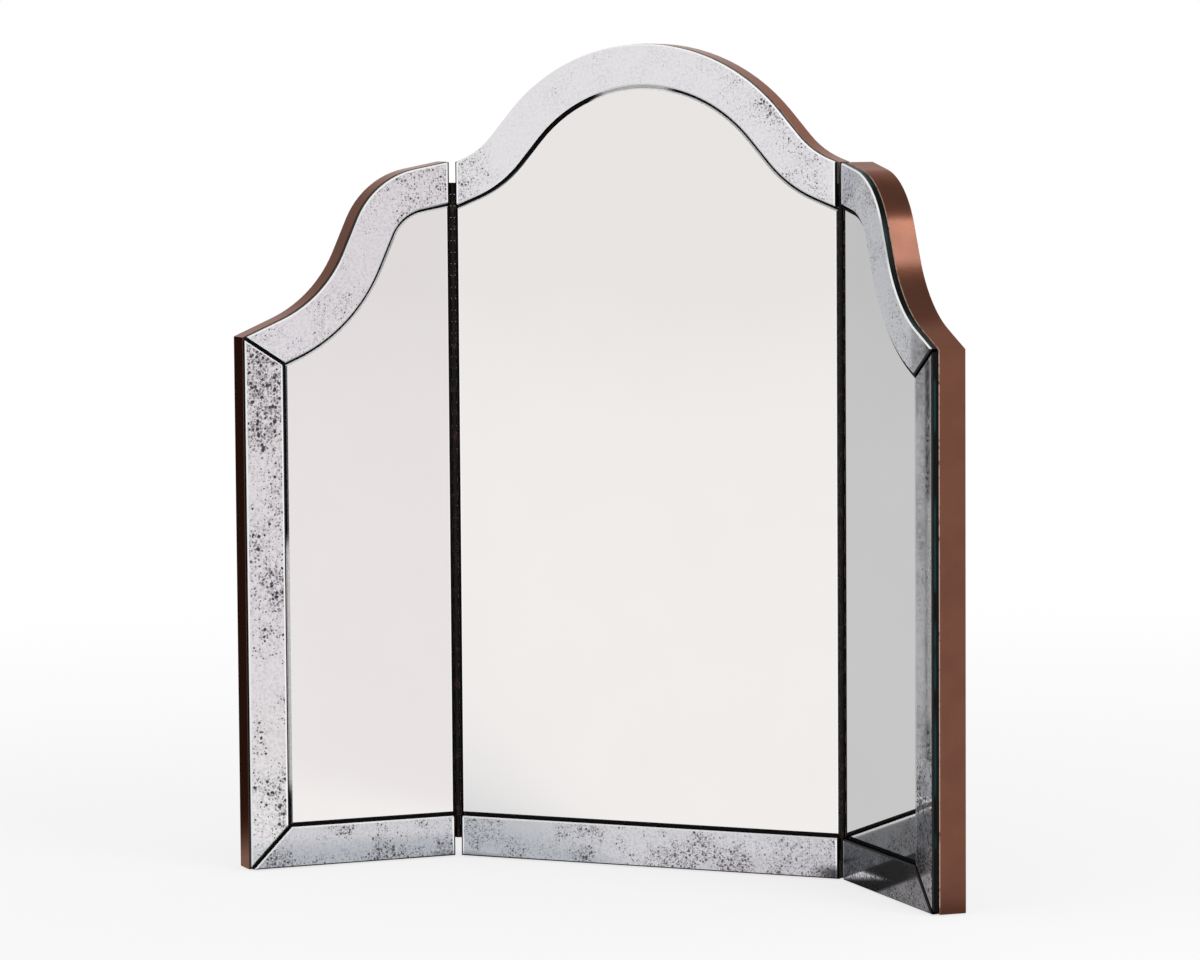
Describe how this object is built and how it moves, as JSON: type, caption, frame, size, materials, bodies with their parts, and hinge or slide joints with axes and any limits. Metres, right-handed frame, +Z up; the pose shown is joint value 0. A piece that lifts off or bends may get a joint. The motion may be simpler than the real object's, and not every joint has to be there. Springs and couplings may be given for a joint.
{
  "type": "trifold vanity mirror",
  "caption": "Standing trifold mirror: an arched centre panel and two curved wings on full-length piano hinges, with antiqued glass borders round clear mirrors.",
  "frame": {"origin": "on the table, under the middle of the centre panel's width and of its board's thickness, at the centre of its felt strip's resting face", "axes": "+Z up, +X to the right of a person facing the mirror, -Y towards that person"},
  "size_m": [0.715, 0.1803, 0.762],
  "materials": {
    "clear_mirror": "polished silvered glass",
    "antiqued_mirror": "antiqued silvered glass with dark speckle",
    "black_board": "black sealed fibreboard",
    "copper_bronze_edge": "satin copper-bronze lacquer",
    "back_cover": "matt dark brown hardboard",
    "mastic": "cured mirror mastic",
    "felt": "pressed wool felt",
    "hinge_bronze": "dark bronze plated steel, satin"
  },
  "bodies": {
    "centre": {"centre_board": "black_board", "centre_edge_band": "copper_bronze_edge", "centre_back_cover": "back_cover", "centre_clear_mirror": "clear_mirror", "centre_top_strip": "antiqued_mirror", "centre_bottom_strip": "antiqued_mirror", "centre_mastic_dabs": "mastic", "centre_cover_screws": "hinge_bronze", "centre_felt_strip": "felt", "left_hinge_fixed_leaf": "hinge_bronze", "left_hinge_pin": "hinge_bronze", "left_hinge_fixed_leaf_screws": "hinge_bronze", "right_hinge_fixed_leaf": "hinge_bronze", "right_hinge_pin": "hinge_bronze", "right_hinge_fixed_leaf_screws": "hinge_bronze"},
    "left_wing": {"left_wing_board": "black_board", "left_wing_edge_band": "copper_bronze_edge", "left_wing_back_cover": "back_cover", "left_wing_clear_mirror": "clear_mirror", "left_wing_top_strip": "antiqued_mirror", "left_wing_side_strip": "antiqued_mirror", "left_wing_bottom_strip": "antiqued_mirror", "left_wing_mastic_dabs": "mastic", "left_wing_cover_screws": "hinge_bronze", "left_wing_felt_strip": "felt", "left_hinge_wing_leaf": "hinge_bronze", "left_hinge_wing_leaf_screws": "hinge_bronze"},
    "right_wing": {"right_wing_board": "black_board", "right_wing_edge_band": "copper_bronze_edge", "right_wing_back_cover": "back_cover", "right_wing_clear_mirror": "clear_mirror", "right_wing_top_strip": "antiqued_mirror", "right_wing_side_strip": "antiqued_mirror", "right_wing_bottom_strip": "antiqued_mirror", "right_wing_mastic_dabs": "mastic", "right_wing_cover_screws": "hinge_bronze", "right_wing_felt_strip": "felt", "right_hinge_wing_leaf": "hinge_bronze", "right_hinge_wing_leaf_screws": "hinge_bronze"}
  },
  "joints": [
    {"name": "left_wing_fold", "type": "hinge", "parent": "centre", "child": "left_wing", "pos_m": [-0.1939, -0.0173, 0.326], "axis": [0, 0, 1], "range_deg": [-52, 83]},
    {"name": "right_wing_fold", "type": "hinge", "parent": "centre", "child": "right_wing", "pos_m": [0.1939, -0.0173, 0.326], "axis": [0, 0, -1], "range_deg": [-52, 83]}
  ]
}
